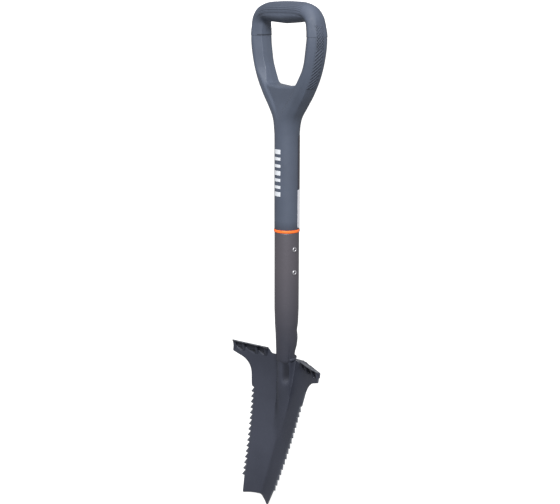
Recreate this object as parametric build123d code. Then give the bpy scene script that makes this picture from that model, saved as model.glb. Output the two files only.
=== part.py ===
from build123d import *
import math
import os

# Narrow serrated digging shovel, upright: +Z runs up the shaft, the front of the
# blade faces -Y, and the origin is the centre of the hand grip bar.
# Heights below are measured from the blade's bottom corners and are shifted to
# the grip when a node is written.  All sizes are in millimetres.

# driving dimensions
TOTAL_LENGTH = 700.0
GRIP_HEIGHT = 686.0          # centre of the grip bar above the blade's corners
SHEET = 2.3                  # blade steel
DISH_TOP_Y = 11.0            # centre line of the blade at the foot treads
DISH_MID_Y = -12.1
DISH_LOW_Y = -49.4
WING_SWEEP = 0.36            # each wing leans forward this much per mm of width
TREAD_HEIGHT = 207.0
TREAD_HALF_WIDTH = 98.0
CORNER_HALF_WIDTH = 28.9
BOTTOM_ARCH = 4.2
TOOTH_COUNT = 16
TOOTH_DEPTH = 3.6
TOOTH_UNDERCUT = 1.1
FIRST_ROOT = (53.4, 145.3)
LAST_ROOT = (34.1, 22.1)
SHOULDER_RADIUS = 30.0
SHOULDER_CORNER = (64.9, 181.4)
TREAD_SIDE = 14.5            # height of the tread's outer side
STEP_INNER = 41.0            # the step starts this far from the centre
STEP_DROP = 1.5              # and is this much lower there than at its tip
SEAT_HALF_WIDTH = 33.0       # level stretch beside the tube
JOINT_GAP = 0.2              # between the tube's end and the blade
OVERRUN = 1.1                # the dish is drawn a little past both ends
WING_REACH = 110.0
FLANGE_DEPTH = 11.0
FLANGE_RISE = 0.38
TIP_TAPER = 9.0              # length of the step's pinched tip
RIB_DROP = 13.0              # how far a rib runs down the blade
RIDGE_BOTTOM = 80.0
HOLLOW_TOP = 192.0           # the ridge is hollow up to here
STUB_RADIUS = 11.9
STUB_BORE = 9.6
STUB_SPAN = (197.0, 221.0)
RIB_PLACES = (57.5, 79.5)
RIB_WIDTH = 3.6
TUBE_RADIUS = 17.3
TUBE_WALL = 2.0
TUBE_TOP = 385.0
TUBE_BOTTOM = 200.0
NECK_RADIUS = 14.2
RING_HEIGHT = 4.0
RING_RADIUS = 18.2
STEM_RADIUS = 17.5
CORE_RADIUS = 12.6
CORE_WALL = 1.8
CORE_BOTTOM = 300.0
CORE_TOP = 545.0
RIVET_HEIGHTS = {"rivet_upper": 361.5, "rivet_lower": 328.6}
RIVET_SHANK = 2.4
RIVET_HEAD = 3.5
RIVET_RISE = 1.0
HANDLE_HALF_DEPTH = 14.5
HANDLE_ROUNDING = 9.0
OPENING_ROUNDING = 5.0
BAR_CORE = (10.0, 9.0)       # half depth and half height of the bar inside the grip
GRIP_HALF_LENGTH = 46.0
FLARE_POINTS = [(21, 541), (31, 556), (45, 575), (59.5, 600.5), (67, 622)]
FLARE_START = 522.0
WIDEST = (70.5, 650.0)
CORNER_MIDDLE = (65.5, 680.0)
CROWN_HALF_WIDTH = 40.0
CROWN_DROP = 2.5             # from the crown's middle to where its corners start
OPENING_CORNERS = [(0, 671.6), (30, 673.0), (47.5, 675.5), (49, 655), (43.2, 620), (31, 590), (0, 587.3)]
OPENING_UPPER_RADIUS = 6.0
OPENING_LOWER_RADIUS = 8.0
NECK_SECTIONS = [(541, 20.8, 16.8), (557, 31, 15.8), (572, 43, 15)]   # height, half width, half depth
NECK_START = 515.0
GRIP_LOW = 664.0
PAD_THICKNESS = 1.6
PAD_HALF_DEPTH = 8.0
PAD_SPAN = (584.0, 676.0)
MARK_COUNT = 7
MARK_SIZE = (12.6, 4.2)      # round and along the stem
MARK_PITCH = 9.8
MARK_MIDDLE = 469.0
FILM = 0.25                  # thickness of print and labels
LABEL_SPANS = {"label_upper": (446.0, 520.0), "label_lower": (391.5, 445.0)}
LABEL_TURN = (110.0, 250.0)  # around the stem, from the front
WELD_RADIUS = 1.9
CLEARANCE = 0.1


def mirrored(shape):
    """The shape and its mirror image across the YZ plane, fused."""
    return shape + mirror(shape, Plane.YZ)


def dish_curve(offset):
    """The blade's centre line in the YZ plane, moved by offset along Y and drawn past both ends."""
    top = (DISH_TOP_Y + OVERRUN + offset, TREAD_HEIGHT + 7 * OVERRUN)
    low = (DISH_LOW_Y - OVERRUN + offset, -3 * OVERRUN)
    middle = (DISH_MID_Y + offset, 0.5 * TREAD_HEIGHT)
    return ThreePointArc(top, middle, low)


def wing_solid(front_offset, back_offset):
    """Both swept wings between two offsets of the dish curve."""
    front = Plane.YZ * dish_curve(front_offset)
    back = Plane.YZ * dish_curve(back_offset)
    ends = [Line(front @ 0, back @ 0), Line(front @ 1, back @ 1)]
    strip = make_face([front, back] + ends)
    reach = WING_REACH * math.hypot(1, WING_SWEEP)
    return mirrored(extrude(strip, reach, dir=(1, -WING_SWEEP, 0)))


def tooth_points():
    """Right-hand edge from the lowest notch up to the highest one."""
    across = (FIRST_ROOT[0] - LAST_ROOT[0]) / TOOTH_COUNT
    along = (FIRST_ROOT[1] - LAST_ROOT[1]) / TOOTH_COUNT
    points = []
    for index in range(TOOTH_COUNT):
        root = (LAST_ROOT[0] + index * across, LAST_ROOT[1] + index * along)
        points.append(root)
        points.append((root[0] + TOOTH_DEPTH, root[1] + TOOTH_UNDERCUT))
    points.append(FIRST_ROOT)
    return points


def blade_outline():
    """The right half of the blade seen from the front, closed on the centre line."""
    edge_start = (FIRST_ROOT[0] + TOOTH_DEPTH - 0.3, FIRST_ROOT[1] + TOOTH_UNDERCUT + 0.8)
    tread_low = (TREAD_HALF_WIDTH - 1.0, TREAD_HEIGHT - TREAD_SIDE)
    shoulder = FilletPolyline(edge_start, SHOULDER_CORNER, tread_low, radius=SHOULDER_RADIUS)
    arch_middle = (0.55 * CORNER_HALF_WIDTH, 0.62 * BOTTOM_ARCH)
    arch = ThreePointArc((0, BOTTOM_ARCH), arch_middle, (CORNER_HALF_WIDTH, 0))
    side = Polyline((CORNER_HALF_WIDTH, 0), *tooth_points(), edge_start)
    seat = TUBE_BOTTOM - JOINT_GAP
    top = Polyline(tread_low, (TREAD_HALF_WIDTH, TREAD_HEIGHT), (STEP_INNER, TREAD_HEIGHT - STEP_DROP),
                   (SEAT_HALF_WIDTH, seat), (0, seat), (0, BOTTOM_ARCH))
    return make_face(Plane.XZ * Curve([arch, side, shoulder, top]))


def flange():
    """The forward-turned step on the right wing, deepest beside the shaft."""
    inner = Vector(STEP_INNER, DISH_TOP_Y - STEP_INNER * WING_SWEEP, TREAD_HEIGHT - STEP_DROP - SHEET)
    outer = Vector(TREAD_HALF_WIDTH, DISH_TOP_Y - TREAD_HALF_WIDTH * WING_SWEEP, TREAD_HEIGHT - SHEET)
    run = (outer - inner)
    forward = Vector(-WING_SWEEP, -1, FLANGE_RISE)
    plane = Plane(origin=inner, x_dir=run, z_dir=run.cross(forward) * -1)
    length = run.length
    depth = FLANGE_DEPTH
    corners = [(0, SHEET), (0, -depth), (length - TIP_TAPER, -0.75 * depth), (length, -0.25 * depth),
               (length, SHEET)]
    step = make_face(plane * Polyline(*corners, close=True))
    return extrude(step, SHEET)


def rib(place):
    """A triangular rib under the step, at the given distance from the centre."""
    wing_y = DISH_TOP_Y - place * WING_SWEEP
    back = wing_y + 0.65 * SHEET
    top = TREAD_HEIGHT - STEP_DROP
    low = TREAD_HEIGHT - RIB_DROP
    corners = [(back, top), (wing_y - 0.7 * FLANGE_DEPTH, top + STEP_DROP), (wing_y - 2, low), (back, low)]
    side = make_face(Plane.YZ.offset(place - RIB_WIDTH / 2) * Polyline(*corners, close=True))
    return extrude(side, RIB_WIDTH, dir=(1, 0, 0))


def post(radius, low, high):
    """An upright cylinder on the shaft's axis between two heights."""
    return Pos(0, 0, (low + high) / 2) * Cylinder(radius, high - low)


def ridge():
    """The half-round ridge that carries the socket down into the blade."""
    return post(NECK_RADIUS, RIDGE_BOTTOM, TUBE_BOTTOM - JOINT_GAP) & wing_solid(-90, SHEET / 2)


def blade():
    """The pressed plate: dished wings, hollow ridge, steps and ribs, with a stub for the tube."""
    outline = extrude(blade_outline(), 90, both=True)
    plate = wing_solid(0, SHEET) & mirrored(outline)
    body = plate + ridge() - post(NECK_RADIUS - SHEET, RIDGE_BOTTOM, HOLLOW_TOP)
    body = body + mirrored(flange())
    for place in RIB_PLACES:
        body = body + mirrored(rib(place))
    low, high = STUB_SPAN
    return body + post(STUB_RADIUS, low, high) - post(STUB_BORE, low - 10, high + 10)


def shaft_tube():
    """Steel socket tube, drawn narrower and slightly waisted where it meets the blade."""
    outer = [(TUBE_RADIUS, TUBE_TOP), (TUBE_RADIUS, 275), (15.2, 238), (15.0, 222), (14.2, 207),
             (14.4, TUBE_BOTTOM)]
    inner = [(radius - TUBE_WALL, height) for radius, height in reversed(outer)]
    wall = make_face(Plane.XZ * Polyline(*outer, *inner, close=True))
    tube = revolve(wall, Axis.Z, 360)
    return tube - rivet_holes()


def rivet_holes():
    """The cross holes for both rivets, a little wider than their shanks."""
    drill = Rot(0, 90, 0) * Cylinder(RIVET_SHANK + 0.05, 4 * TUBE_RADIUS)
    return Compound(children=[Pos(0, 0, height) * drill for height in RIVET_HEIGHTS.values()])


def weld(start, sweep):
    """A fillet bead round part of the joint between tube and blade."""
    major = NECK_RADIUS + 0.9
    section = Plane.XZ * Pos(major, TUBE_BOTTOM - 0.1) * Circle(WELD_RADIUS)
    bead = revolve(section, Axis.Z, sweep)
    return Rot(0, 0, start) * bead


def welds(blade_solid, tube_solid):
    """Three beads, clear of the two pieces that they join."""
    beads = {"weld_left": weld(150, 50), "weld_right": weld(-20, 50), "weld_back": weld(55, 70)}
    return {name: bead - blade_solid - tube_solid for name, bead in beads.items()}


def collar_ring():
    """The coloured spacer between the steel tube and the handle's stem."""
    ring = Cylinder(RING_RADIUS, RING_HEIGHT) - Cylinder(CORE_RADIUS + CLEARANCE, RING_HEIGHT)
    return Pos(0, 0, TUBE_TOP + RING_HEIGHT / 2) * fillet(ring.edges().group_by(SortBy.LENGTH)[-1], 0.9)


def core_tube():
    """The inner tube that runs from the socket up into the handle."""
    wall = post(CORE_RADIUS, CORE_BOTTOM, CORE_TOP) - post(CORE_RADIUS - CORE_WALL, CORE_BOTTOM, CORE_TOP)
    return wall - rivet_holes()


def core_plug(height, flange_below):
    """A pressed-in end plug whose thin flange covers the tube's end."""
    plug = Pos(0, 0, height) * Cylinder(CORE_RADIUS - CORE_WALL - CLEARANCE, 12)
    rim = Pos(0, 0, height - 7 if flange_below else height + 7) * Cylinder(CORE_RADIUS - 0.4, 2)
    return plug + rim


def rivet(height):
    """A tubular rivet through both tubes, with a rolled head at each side."""
    reach = TUBE_RADIUS + RIVET_RISE
    shank = Cylinder(RIVET_SHANK, 2 * reach)
    head = Cylinder(RIVET_HEAD, RIVET_RISE) - Cylinder(1.4, RIVET_RISE)
    head = fillet(head.edges().filter_by(GeomType.CIRCLE).sort_by(Axis.Z)[-1], 0.35)
    body = shank + Pos(0, 0, reach - RIVET_RISE / 2) * head
    body = body + Pos(0, 0, RIVET_RISE / 2 - reach) * Rot(180, 0, 0) * head
    for side in (1, -1):
        body = body - Pos(0, 0, side * (reach - 2)) * Cylinder(1.4, 4)
    return Pos(0, 0, height) * Rot(0, 90, 0) * body


def handle_outline():
    """Outer outline of the D and of its flare down to the stem."""
    top_corner = (CROWN_HALF_WIDTH, TOTAL_LENGTH - CROWN_DROP)
    flare = [(STEM_RADIUS, FLARE_START), *FLARE_POINTS, WIDEST]
    right = [Spline(flare, tangents=[(0, 1), (0.05, 1)]), ThreePointArc(WIDEST, CORNER_MIDDLE, top_corner)]
    left = [mirror(piece, Plane.YZ) for piece in right]
    crown = ThreePointArc(top_corner, (0, TOTAL_LENGTH), (-top_corner[0], top_corner[1]))
    foot = Line((-STEM_RADIUS, FLARE_START), (STEM_RADIUS, FLARE_START))
    return make_face(Plane.XZ * Curve(right + [crown] + left + [foot]))


def opening_outline():
    """Outline of the hand opening, narrowing downwards with rounded corners."""
    face = mirrored(make_face(Plane.XZ * Polyline(*OPENING_CORNERS, close=True)))
    rounded = fillet(face.vertices().group_by(Axis.Z)[-1], OPENING_UPPER_RADIUS)
    low_corner = OPENING_CORNERS[-2][1]
    lower = [v for v in rounded.vertices() if abs(v.Z - low_corner) < CLEARANCE]
    return fillet(lower, OPENING_LOWER_RADIUS)


def handle_blank():
    """The whole D handle and stem before its grips are let in."""
    loop = extrude(handle_outline(), HANDLE_HALF_DEPTH, both=True)
    flats = loop.faces().filter_by(Axis.Y)
    around = [e for f in flats for e in f.outer_wire().edges() if e.center().Z > FLARE_START + 1]
    loop = fillet(around, HANDLE_ROUNDING) - extrude(opening_outline(), HANDLE_HALF_DEPTH + 1, both=True)
    flats = loop.faces().filter_by(Axis.Y)
    within = [e for f in flats for w in f.inner_wires() for e in w.edges()]
    loop = fillet(within, OPENING_ROUNDING)
    sections = [(NECK_START, STEM_RADIUS, STEM_RADIUS), *NECK_SECTIONS]
    neck = loft([Pos(0, 0, height) * Ellipse(wide, deep) for height, wide, deep in sections])
    return loop + neck + post(STEM_RADIUS, TUBE_TOP + RING_HEIGHT, NECK_START)


def grip_region():
    """The space round the grip bar that the soft sleeve fills."""
    high = TOTAL_LENGTH + 5
    depth = 3 * HANDLE_HALF_DEPTH
    return Pos(0, 0, (GRIP_LOW + high) / 2) * Box(2 * GRIP_HALF_LENGTH, depth, high - GRIP_LOW)


def bar_core():
    """The rigid bar that runs through the soft grip."""
    section = RectangleRounded(2 * BAR_CORE[0], 2 * BAR_CORE[1], 5)
    return extrude(Plane.YZ.offset(-GRIP_HALF_LENGTH) * Pos(0, GRIP_HEIGHT) * section,
                   2 * GRIP_HALF_LENGTH)


def pad(frame, side):
    """The textured soft pad let into the outer face of one leg of the D."""
    low, high = PAD_SPAN
    slab = Pos(side * 50, 0, (low + high) / 2) * Box(100, 2 * PAD_HALF_DEPTH, high - low)
    return (frame & slab) - frame.moved(Location((-side * PAD_THICKNESS, 0, 0)))


def stem_film(radius, low, high, start, sweep):
    """A thin film wrapped on the stem; the angle runs from the front."""
    gap = 0.05
    section = make_face(Plane.XZ * Polyline((radius + gap, low), (radius + gap + FILM, low),
                                            (radius + gap + FILM, high), (radius + gap, high),
                                            close=True))
    film = revolve(section, Axis.Z, sweep)
    return Rot(0, 0, start - 90) * film


def print_marks():
    """A row of plain blocks printed up the front of the stem."""
    marks = []
    sweep = math.degrees(MARK_SIZE[0] / STEM_RADIUS)
    for index in range(MARK_COUNT):
        middle = MARK_MIDDLE + (index - (MARK_COUNT - 1) / 2) * MARK_PITCH
        half = MARK_SIZE[1] / 2 if index % 3 else MARK_SIZE[1] / 2 + 1.0
        marks.append(stem_film(STEM_RADIUS, middle - half, middle + half, -sweep / 2, sweep))
    return Compound(children=marks)


def all_nodes():
    """Every node by name."""
    nodes = {"blade": blade(), "shaft_tube": shaft_tube(), "collar_ring": collar_ring()}
    nodes.update(welds(nodes["blade"], nodes["shaft_tube"]))
    nodes["core_tube"] = core_tube()
    nodes["core_plug_top"] = core_plug(CORE_TOP - 6, False)
    nodes["core_plug_bottom"] = core_plug(CORE_BOTTOM + 6, True)
    for name, height in RIVET_HEIGHTS.items():
        nodes[name] = rivet(height)
    blank = handle_blank()
    grip = (blank & grip_region()) - bar_core()
    frame = (blank - grip_region()) + bar_core()
    for name, side in (("pad_left", -1), ("pad_right", 1)):
        nodes[name] = pad(frame, side)
        frame = frame - nodes[name]
    bore = post(CORE_RADIUS + CLEARANCE, TUBE_TOP + RING_HEIGHT, CORE_TOP + 2.5)
    nodes["handle_frame"] = frame - bore
    nodes["grip_sleeve"] = grip
    for name, (low, high) in LABEL_SPANS.items():
        start, stop = LABEL_TURN
        nodes[name] = stem_film(STEM_RADIUS, low, high, start, stop - start)
    nodes["print_marks"] = print_marks()
    return nodes


os.makedirs("parts", exist_ok=True)
for node_name, shape in all_nodes().items():
    export_step(shape.moved(Location((0, 0, -GRIP_HEIGHT))), f"parts/{node_name}.step")
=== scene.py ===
"""Serrated digging shovel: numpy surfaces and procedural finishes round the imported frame."""

import math

import bmesh
import bpy
import numpy as np
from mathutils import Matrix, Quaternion, Vector


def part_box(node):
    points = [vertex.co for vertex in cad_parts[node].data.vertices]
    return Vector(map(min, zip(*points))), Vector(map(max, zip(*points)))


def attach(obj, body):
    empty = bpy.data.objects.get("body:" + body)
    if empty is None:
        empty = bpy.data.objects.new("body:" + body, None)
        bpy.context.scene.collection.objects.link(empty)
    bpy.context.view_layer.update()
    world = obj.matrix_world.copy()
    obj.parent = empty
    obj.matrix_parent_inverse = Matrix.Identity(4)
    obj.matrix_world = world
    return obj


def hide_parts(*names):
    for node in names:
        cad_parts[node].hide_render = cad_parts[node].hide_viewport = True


bl_info = {
    "name": "Serrated Digging Shovel",
    "version": (1, 0, 0),
    "blender": (4, 5, 0),
    "location": "3D View > Sidebar > Shovel",
    "description": "Builds a D-handled digging shovel with a serrated blade",
    "category": "Add Mesh",
}

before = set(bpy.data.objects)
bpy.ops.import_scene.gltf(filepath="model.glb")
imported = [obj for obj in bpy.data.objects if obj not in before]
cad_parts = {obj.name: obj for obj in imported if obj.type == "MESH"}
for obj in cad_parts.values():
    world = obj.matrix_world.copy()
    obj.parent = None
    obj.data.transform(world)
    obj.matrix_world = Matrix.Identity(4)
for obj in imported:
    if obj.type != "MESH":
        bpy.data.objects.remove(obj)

# Shapes are worked out in millimetres, with heights above the blade's lower corners.
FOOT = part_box("blade")[0].z
MILLIMETRE = 0.001


def height_of(z):
    """A height of the frame, in metres, as millimetres above the blade's lower corners."""
    return (z - FOOT) / MILLIMETRE


def height_span(name):
    """Lowest and highest height of a node."""
    return [height_of(corner.z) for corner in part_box(name)]


RING_LOW, RING_HIGH = height_span("collar_ring")
STEM_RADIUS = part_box("print_marks")[0].y / -MILLIMETRE - 0.3
CROWN = height_of(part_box("grip_sleeve")[1].z)
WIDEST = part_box("handle_frame")[1].x / MILLIMETRE
TUBE_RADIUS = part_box("shaft_tube")[1].x / MILLIMETRE
SHEET = 2.3
NECK_RADIUS = 14.2
TREAD_HEIGHT = 207.0
DISH_TOP_Y = 11.0
DISH_SLOPE = 0.158
DISH_CURVE = 0.00065
WING_SWEEP = 0.345
CORNER_HALF_WIDTH = 28.9
BOTTOM_ARCH = 4.2
TOOTH_COUNT = 16
LAST_ROOT = (34.1, 22.1)
FIRST_ROOT = (53.4, 145.3)
INNER_BAND = 24.0
STEP_INNER = 40.0
STEP_OUTER = 99.0
CELLS = ((44.6, 55.6), (59.2, 77.6), (81.4, 93.0))
CELL_FLOOR, CELL_TOP, CELL_SIDE = 193.6, 203.2, 1.6
CELL_FLOOR_RISE = 6.4
GUSSET_PLACES = (42.4, 57.4, 79.5, 94.8)
GUSSET_RUN = 12.0
STEP_RISE = 0.36
SHOULDER_CORNER = (64.9, 181.4)
SHOULDER_RADIUS = 30.0
GROUND_END = (172, 190)
SEAT_HEIGHT = 199.0
SEAT_END, FOLD_START, FOLD_HEIGHT = 32.0, 41.5, 6.5
RIDGE_FILLET = 7.0
DIMPLE_TURN, DIMPLE_HEIGHT = 43, 182
RIM = 0.22

JOINT_HEIGHT, JOINT_RADIUS = 200, 14.7
SOCKET_BORE = 13.0
WELD_RADIUS = 1.4
RING_BORE = 12.9
RING_OVERHANG = 0.95
RIVET_RIM = (2.55, 1.05)

OPENING_BOTTOM = 587.3
LEG_HALF_DEPTH = 14.5
BAR_HALF_DEPTH = 14.4
SLEEVE_START = 654.0
SLEEVE_RIB_PITCH = 2.6
GROOVE_PLACE = 24.6
PAD_SPAN = (584, 672)
PAD_MIDDLE, PAD_HALF_WIDTH = -1.5, 7.3
DIAMOND_PITCH, BAR_PITCH = 4.2, 5.2
LABEL_TURN = (110, 250)
MARK_COUNT = 7

STAGE_REACH = 30.0
CAMERA_AZIMUTH, CAMERA_PITCH, CAMERA_DISTANCE = 51.847, 12.207, 1.6472


def srgb(red, green, blue):
    """An 8-bit screen colour as linear values."""
    values = np.array([red, green, blue]) / 255
    linear = np.where(values <= 0.04045, values / 12.92, ((values + 0.055) / 1.055) ** 2.4)
    return tuple(float(v) for v in linear)


def colour_property(name, description, value):
    return bpy.props.FloatVectorProperty(name=name, description=description, subtype="COLOR",
                                         size=3, min=0.0, max=1.0, default=srgb(*value))


def length_property(name, description, value):
    """A small length in millimetres."""
    return bpy.props.FloatProperty(name=name, description=description, default=value, min=0.0)


def chosen():
    """The sizes that a user can change in the sidebar."""
    return bpy.context.scene.shovel_sizes


class ShovelSizes(bpy.types.PropertyGroup):
    """Relief and edge sizes that a user would change, in millimetres."""

    tooth_depth: length_property("Tooth depth", "How far each tooth stands out, in mm", 4.8)
    bevel_width: length_property("Bevel width", "Width of the ground edge, in mm", 3.0)
    step_depth: length_property("Step depth", "Depth of the foot step beside the shaft, in mm", 11.0)
    dimple_depth: length_property("Dimple depth", "Depth of the pressed dimples, in mm", 3.8)
    sleeve_proud: length_property("Sleeve height", "How far the soft grip stands proud, in mm", 0.45)
    pad_relief: length_property("Pad relief", "Height of the pad's pattern, in mm", 0.9)
    cell_depth: length_property("Cell depth", "Depth of the pressed cells under the steps, in mm", 3.0)


class ShovelColours(bpy.types.PropertyGroup):
    """Colours of the finishes."""

    blade: colour_property("Blade", "Powder coat of the blade", (55, 58, 69))
    # Lighter colour of the rubbed edge, which also serves as the painted highlight on the ground edge and
    # the steps' lips.
    edge: colour_property("Edge", "Worn edge of the blade", (98, 101, 106))
    tube: colour_property("Tube", "Hammered coat of the socket tube", (96, 93, 100))
    handle: colour_property("Handle", "Moulded plastic of the handle", (73, 80, 94))
    grip: colour_property("Grip", "Soft grip rubber", (71, 78, 92))
    ring: colour_property("Ring", "Orange collar", (238, 112, 46))


# ---------------------------------------------------------------- numbers and curves


def ramp(value, low, high):
    """Smooth step: 3t^2 - 2t^3 of t, the value's share of the way from low to high."""
    t = np.clip((value - low) / (high - low), 0, 1)
    return t * t * (3 - 2 * t)


def mix(a, b, share):
    return a + (b - a) * share


def smooth_min(a, b, width):
    """The lesser of a and b, with a parabola of that width where they cross."""
    share = np.clip(0.5 + 0.5 * (b - a) / width, 0, 1)
    return mix(b, a, share) - width * share * (1 - share)


def run_along(path):
    """Length of the path from its start to each of its points."""
    return np.concatenate([[0], np.cumsum(np.linalg.norm(np.diff(path, axis=0), axis=1))])


def places_on(path, run, wanted):
    """Points of the path at the wanted lengths."""
    return np.stack([np.interp(wanted, run, path[:, i]) for i in range(2)], 1)


def smooth_path(points, step):
    """Cubic Hermite curve through the points, its slopes taken along the chord length."""
    p = np.array(points, float)
    t = run_along(p)
    slope = np.gradient(p, t, axis=0)
    u = np.linspace(0, t[-1], int(t[-1] / step) + 1)
    k = np.clip(np.searchsorted(t, u, side="right") - 1, 0, len(t) - 2)
    h = (t[k + 1] - t[k])[:, None]
    s = ((u - t[k])[:, None]) / h
    start = (1 + 2 * s) * (1 - s) ** 2 * p[k] + s * (1 - s) ** 2 * h * slope[k]
    end = s * s * (3 - 2 * s) * p[k + 1] + s * s * (s - 1) * h * slope[k + 1]
    return start + end


def resample(path, step):
    """The same path in equal steps."""
    run = run_along(path)
    return places_on(path, run, np.linspace(0, run[-1], int(run[-1] / step) + 1))


def rounded_path(corners, radii, step):
    """Straight runs joined by arcs: at each inner corner an arc of its radius, tangent to both runs."""
    p = np.array(corners, float)
    pieces = [p[:1]]
    for before, corner, after, radius in zip(p, p[1:], p[2:], radii):
        a = (before - corner) / np.linalg.norm(before - corner)
        b = (after - corner) / np.linalg.norm(after - corner)
        half = math.acos(float(np.clip(a @ b, -1, 1))) / 2
        middle = corner + (a + b) / np.linalg.norm(a + b) * radius / math.sin(half)
        start = corner + a * radius / math.tan(half) - middle
        end = corner + b * radius / math.tan(half) - middle
        turn = math.pi - 2 * half
        share = np.linspace(0, 1, max(4, int(turn * radius / step) + 2))[:, None]
        arc = (np.sin((1 - share) * turn) * start + np.sin(share * turn) * end) / math.sin(turn)
        pieces.append(middle + arc)
    pieces.append(p[-1:])
    return resample(np.concatenate(pieces), step)


def gap_to(x, z, path):
    """Distance of each point from a path: to the nearer of the two segments at its nearest point."""
    q = np.stack([np.ravel(x), np.ravel(z)], 1)
    best = np.full(len(q), 1e9)
    nearest = np.zeros(len(q), int)
    for part in np.array_split(np.arange(len(q)), max(1, len(q) * len(path) // 4_000_000)):
        squared = ((q[part, None, :] - path[None]) ** 2).sum(2)
        nearest[part] = squared.argmin(1)
    for shift in (-1, 0):
        first = np.clip(nearest + shift, 0, len(path) - 2)
        a, b = path[first], path[first + 1]
        run = b - a
        share = np.clip(((q - a) * run).sum(1) / (run * run).sum(1), 0, 1)
        best = np.minimum(best, np.linalg.norm(q - a - run * share[:, None], axis=1))
    return best.reshape(np.shape(x))


def unit(vectors):
    return vectors / np.maximum(np.linalg.norm(vectors, axis=-1, keepdims=True), 1e-12)


# ---------------------------------------------------------------- meshes


def grid_faces(rows, columns, closed=False, first=0):
    """Quads between neighbouring rows and columns of a grid; closed joins the last column to the first."""
    r = np.arange(rows - 1)[:, None] * columns
    c = np.arange(columns if closed else columns - 1)[None]
    after = (c + 1) % columns
    quads = np.stack([r + c, r + after, r + columns + after, r + columns + c], -1)
    return quads.reshape(-1, 4) + first


def round_shell(points):
    """A grid whose last column joins its first, with its faces."""
    return points, grid_faces(*points.shape[:2], closed=True)


def round_axis(radius, angle, height):
    """Points at a radius, angle and height round the shaft's axis."""
    return np.stack([radius * np.cos(angle), radius * np.sin(angle), height + 0 * angle], -1)


def linked(name, data):
    """An object of the mesh, lamp or camera, linked to the scene."""
    made = bpy.data.objects.new(name, data)
    bpy.context.scene.collection.objects.link(made)
    return made


def put(name, parts, material, replaces=(), sharp=38.0, values=None):
    """Joins (points in mm, faces) shells into one piece, merges seams, turns faces outwards and rides it."""
    points, faces, start = [], [], 0
    for shell_points, shell_faces in parts:
        shell_points = np.reshape(shell_points, (-1, 3))
        points.append(shell_points)
        faces.extend((np.array(shell_faces) + start).tolist())
        start += len(shell_points)
    points = np.concatenate(points) * MILLIMETRE
    points[:, 2] += FOOT
    mesh = bpy.data.meshes.new(name)
    mesh.from_pydata(points.tolist(), [], faces)
    for label, numbers in (values or {}).items():
        attribute = mesh.attributes.new(label, "FLOAT", "POINT")
        attribute.data.foreach_set("value", np.ravel(numbers).astype(np.float32))
    work = bmesh.new()
    work.from_mesh(mesh)
    bmesh.ops.remove_doubles(work, verts=work.verts, dist=2e-6)
    bmesh.ops.dissolve_degenerate(work, edges=work.edges, dist=1e-7)
    bmesh.ops.recalc_face_normals(work, faces=work.faces)
    work.to_mesh(mesh)
    work.free()
    mesh.shade_smooth()
    mesh.set_sharp_from_angle(angle=math.radians(sharp))
    mesh.materials.append(material)
    piece = linked(name, mesh)
    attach(piece, "root")
    if replaces:
        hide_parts(*replaces)
    return piece


def lathe(profile, steps, axis="z", height=0.0):
    """A profile of (radius, along) turned round an axis: point = radius * (cos, sin) of each angle."""
    radius, along = np.array(profile, float).T[:, :, None]
    angle = np.linspace(0, 2 * math.pi, steps, endpoint=False)[None]
    a, b = radius * np.cos(angle), radius * np.sin(angle)
    along = along + 0 * angle
    points = [a, b, along] if axis == "z" else [along, a, b + height]
    return np.stack(points, -1), grid_faces(len(profile), steps, closed=True)


def mirrored(points, faces, axis):
    """The shell's mirror image, with its faces turned round to match."""
    flipped = np.array(points, float)
    flipped[..., axis] *= -1
    return flipped, np.array(faces)[:, ::-1]


def fanned(points):
    """The rows with one more at each end, gathered to that end's centre, so that both ends are closed."""
    low = points[:1].mean(1, keepdims=True) + 0 * points[:1]
    high = points[-1:].mean(1, keepdims=True) + 0 * points[-1:]
    return np.concatenate([low, points, high])


# ---------------------------------------------------------------- finishes


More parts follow.
